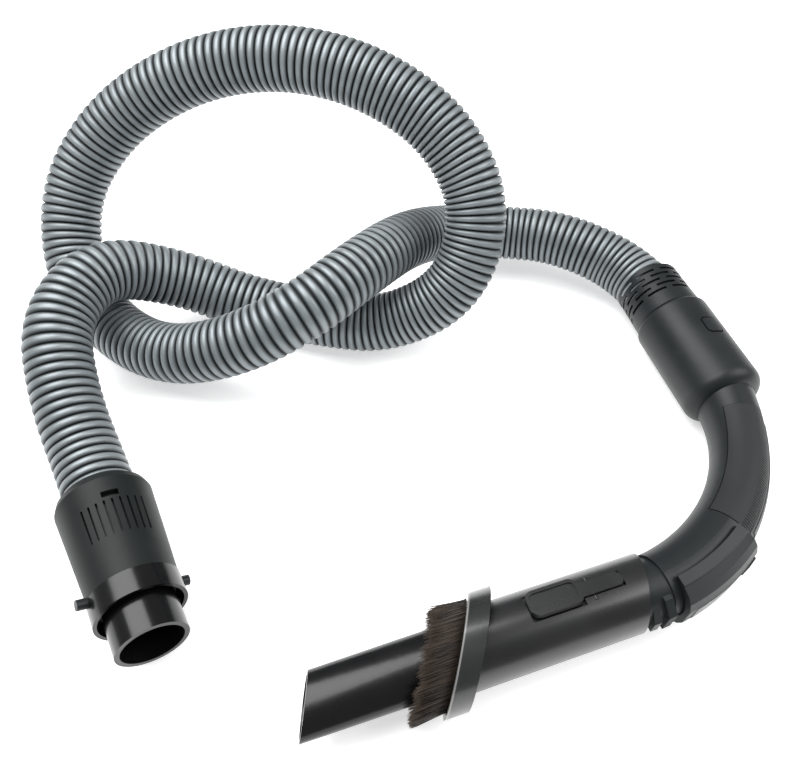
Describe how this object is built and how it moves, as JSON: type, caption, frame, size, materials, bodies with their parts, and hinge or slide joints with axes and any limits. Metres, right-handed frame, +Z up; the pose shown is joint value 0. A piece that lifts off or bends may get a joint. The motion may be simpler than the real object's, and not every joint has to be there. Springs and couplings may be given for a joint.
{
  "type": "vacuum cleaner hose assembly",
  "caption": "Corrugated vacuum cleaner hose, loosely knotted, with a curved handle, a crevice tool with a sliding dusting brush, and a machine-end connector.",
  "frame": {"origin": "centre of the footprint of the handle, tool and connector, on the table they lie on", "axes": "+Z up from the table; the tool points along -X; the handle opens towards +Y; the connector points 11.5 degrees off -Y, towards +X"},
  "size_m": [0.4398, 0.4285, 0.1794],
  "materials": {
    "hose_grey": "satin silver-grey",
    "charcoal_plastic": "fine matte texture",
    "charcoal_rubber": "matte",
    "soft_grip": "matte",
    "satin_black": "satin",
    "gloss_black": "gloss",
    "grey_plastic": "satin",
    "brown_bristle": "bristle",
    "spring_steel": "brushed"
  },
  "bodies": {
    "hose": {"hose_tube": "hose_grey", "hose_cuff": "charcoal_plastic", "hose_cuff_core": "charcoal_plastic", "hose_nut": "charcoal_plastic"},
    "handle": {"handle_elbow": "charcoal_plastic", "grip_inlay_top": "soft_grip", "grip_inlay_underside": "soft_grip", "grip_rib_strip_top": "soft_grip", "grip_rib_strip_underside": "soft_grip", "spine_cover": "charcoal_plastic", "swivel_ring": "spring_steel", "regulator_comb": "charcoal_plastic", "regulator_stop": "charcoal_plastic"},
    "release_tab": {"hose_release_tab": "charcoal_plastic", "release_spring": "spring_steel"},
    "regulator": {"regulator_slider": "charcoal_plastic", "regulator_panel": "grey_plastic", "regulator_thumb_end": "charcoal_plastic"},
    "tool": {"tool_sleeve": "satin_black", "crevice_nozzle": "gloss_black", "latch_axle": "spring_steel"},
    "latch": {"tool_latch": "satin_black"},
    "brush": {"brush_ring": "satin_black", "brush_bristles": "brown_bristle"},
    "connector": {"connector_shell": "charcoal_rubber", "nut_keeper_ring": "charcoal_plastic", "spigot": "gloss_black", "lock_collar": "gloss_black", "spigot_seal": "charcoal_rubber", "bayonet_pins": "charcoal_plastic"}
  },
  "joints": [
    {"name": "handle_swivel", "type": "hinge", "parent": "hose", "child": "handle", "pos_m": [0.1902, 0.05449, 0.026], "axis": [0.0698, 0.9976, 0], "continuous": true},
    {"name": "connector_swivel", "type": "hinge", "parent": "hose", "child": "connector", "pos_m": [-0.18961, 0.0449, 0.0264], "axis": [0.1994, -0.9799, 0], "continuous": true},
    {"name": "hose_release_press", "type": "slide", "parent": "handle", "child": "release_tab", "axis": [-0.2498, 0.0175, -0.9681], "range_m": [0, 0.0008], "stiffness_N_per_m": 1500},
    {"name": "regulator_slide", "type": "hinge", "parent": "handle", "child": "regulator", "pos_m": [0.0674, 0.033, 0.026], "axis": [0, 0, 1], "range_deg": [-2.2, 1.4]},
    {"name": "tool_pull_off", "type": "slide", "parent": "handle", "child": "tool", "axis": [-1, 0, 0], "range_m": [0, 0.056]},
    {"name": "latch_rock", "type": "hinge", "parent": "tool", "child": "latch", "pos_m": [0.0394, -0.08395, 0.04354], "axis": [0, -0.9744, 0.225], "range_deg": [0, 3], "stiffness_Nm_per_rad": 0.6},
    {"name": "brush_slide", "type": "slide", "parent": "tool", "child": "brush", "axis": [-1, 0, 0], "range_m": [0, 0.062]}
  ]
}
